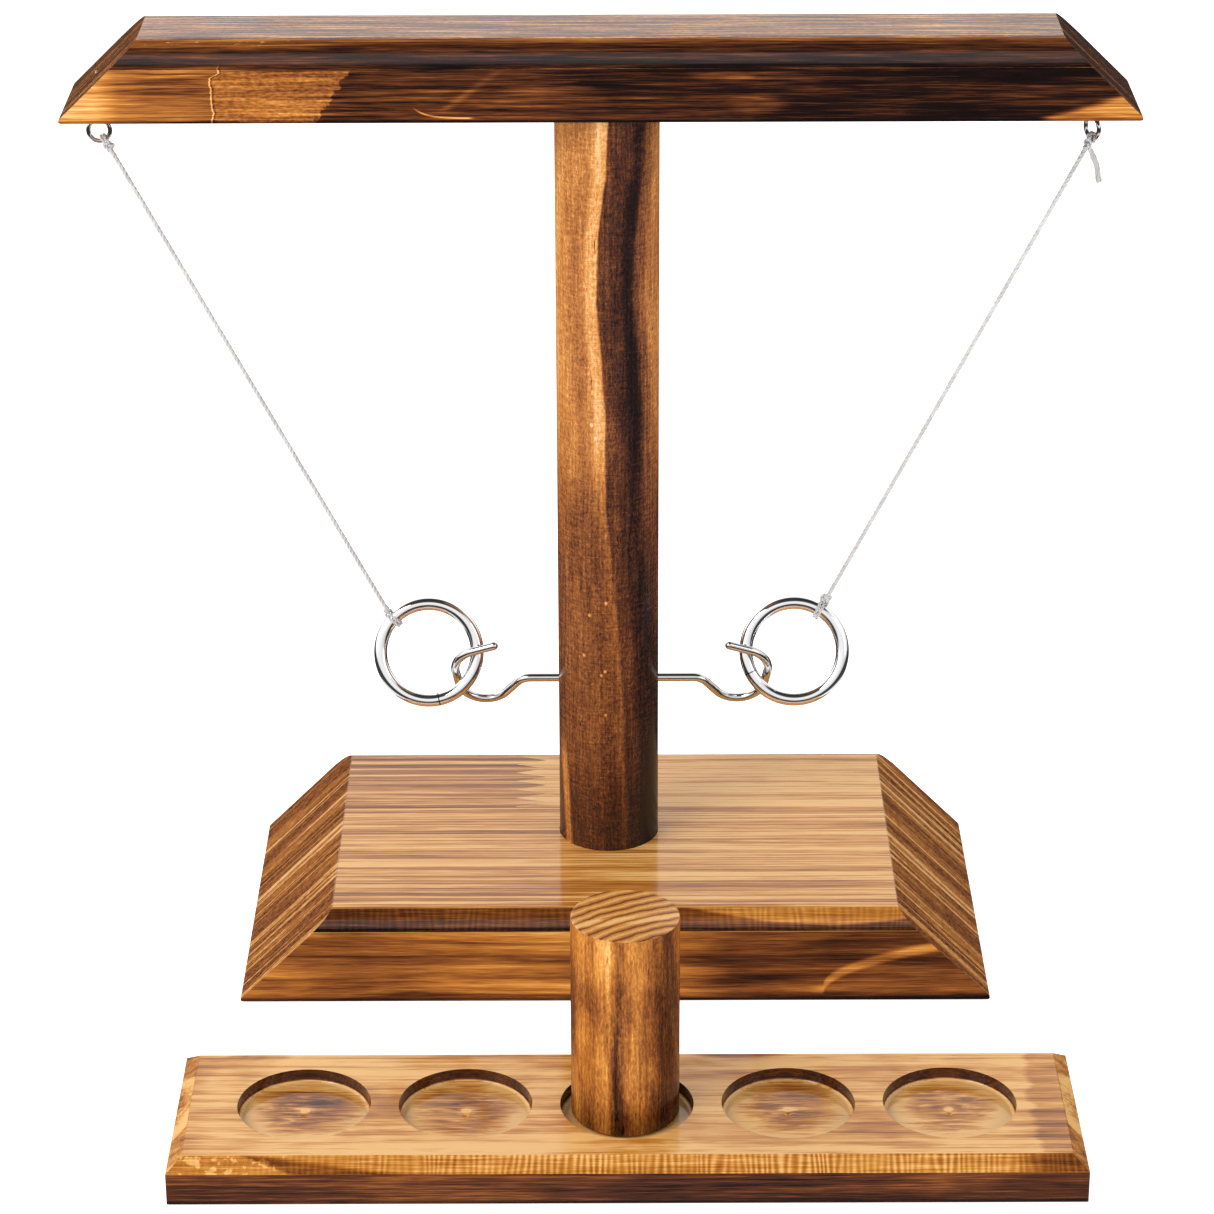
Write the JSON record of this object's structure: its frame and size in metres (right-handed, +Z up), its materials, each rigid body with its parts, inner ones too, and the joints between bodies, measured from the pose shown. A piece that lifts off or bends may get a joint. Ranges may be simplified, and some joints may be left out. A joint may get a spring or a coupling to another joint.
{
  "type": "tabletop hook-and-ring toss game",
  "caption": "Tabletop ring toss game: wooden stand whose crossbar strings steel rings over hooks, with a recessed wooden score ladder and a marker peg.",
  "frame": {"origin": "centre of the base block's underside, on the table top", "axes": "+Z up, +X along the crossbar to the right, -Y towards the players and the score ladder"},
  "size_m": [0.3528, 0.2578, 0.329],
  "materials": {
    "burnt_pine_base": "torched and varnished pine",
    "burnt_pine_post": "torched and varnished pine",
    "burnt_pine_bar": "torched and varnished pine",
    "burnt_pine_ladder": "torched and varnished pine",
    "burnt_pine_peg": "torched and varnished pine",
    "zinc_steel": "zinc plated",
    "nickel_wire": "bright nickel plate",
    "chromed_ring": "bright chrome plate",
    "cotton_string": "twisted white cotton"
  },
  "bodies": {
    "stand": {"base_block": "burnt_pine_base", "post": "burnt_pine_post", "crossbar": "burnt_pine_bar", "base_screws": "zinc_steel", "base_screw_washers": "zinc_steel", "crossbar_dowel_screw": "zinc_steel", "left_hook": "nickel_wire", "right_hook": "nickel_wire", "left_eyelet": "nickel_wire", "right_eyelet": "nickel_wire", "left_eyelet_knot": "cotton_string", "right_eyelet_knot": "cotton_string", "right_string_tail": "cotton_string"},
    "left_string": {"left_string": "cotton_string"},
    "left_ring_tie": {"left_ring_knot": "cotton_string"},
    "left_ring": {"left_ring": "chromed_ring"},
    "right_string": {"right_string": "cotton_string"},
    "right_ring_tie": {"right_ring_knot": "cotton_string"},
    "right_ring": {"right_ring": "chromed_ring"},
    "ladder": {"ladder_board": "burnt_pine_ladder"},
    "peg": {"marker_peg": "burnt_pine_peg"}
  },
  "joints": [
    {"name": "left_string_swing", "type": "hinge", "parent": "stand", "child": "left_string", "pos_m": [-0.16707, 0.00007, 0.28821], "axis": [0.4742, -0.1152, -0.8728], "range_deg": [0, 180]},
    {"name": "left_ring_twist", "type": "hinge", "parent": "left_string", "child": "left_ring_tie", "pos_m": [-0.07959, 0.00532, 0.11705], "axis": [0.4549, 0.0273, -0.8901], "range_deg": [-180, 0]},
    {"name": "left_ring_spin", "type": "hinge", "parent": "left_ring_tie", "child": "left_ring", "pos_m": [-0.065, 0, 0.1032], "axis": [0, -0.9135, 0.4067], "continuous": true},
    {"name": "right_string_swing", "type": "hinge", "parent": "stand", "child": "right_string", "pos_m": [0.15735, 0.00008, 0.28779], "axis": [0.4636, 0.1118, 0.8789], "range_deg": [0, 180]},
    {"name": "right_ring_twist", "type": "hinge", "parent": "right_string", "child": "right_ring_tie", "pos_m": [0.07443, 0.00658, 0.12022], "axis": [0.4433, -0.0347, 0.8957], "range_deg": [-180, 0]},
    {"name": "right_ring_spin", "type": "hinge", "parent": "right_ring_tie", "child": "right_ring", "pos_m": [0.0632, 0, 0.1032], "axis": [0, -0.9135, 0.4067], "continuous": true},
    {"name": "ladder_slide", "type": "slide", "parent": "stand", "child": "ladder", "axis": [0, -1, 0], "range_m": [0, 0.15]},
    {"name": "peg_lift", "type": "slide", "parent": "ladder", "child": "peg", "axis": [0, 0, 1], "range_m": [0, 0.1]}
  ],
  "couplings": [
    {"joint": "left_ring_twist", "follows": "left_string_swing", "ratio": -1},
    {"joint": "right_ring_twist", "follows": "right_string_swing", "ratio": -1}
  ]
}
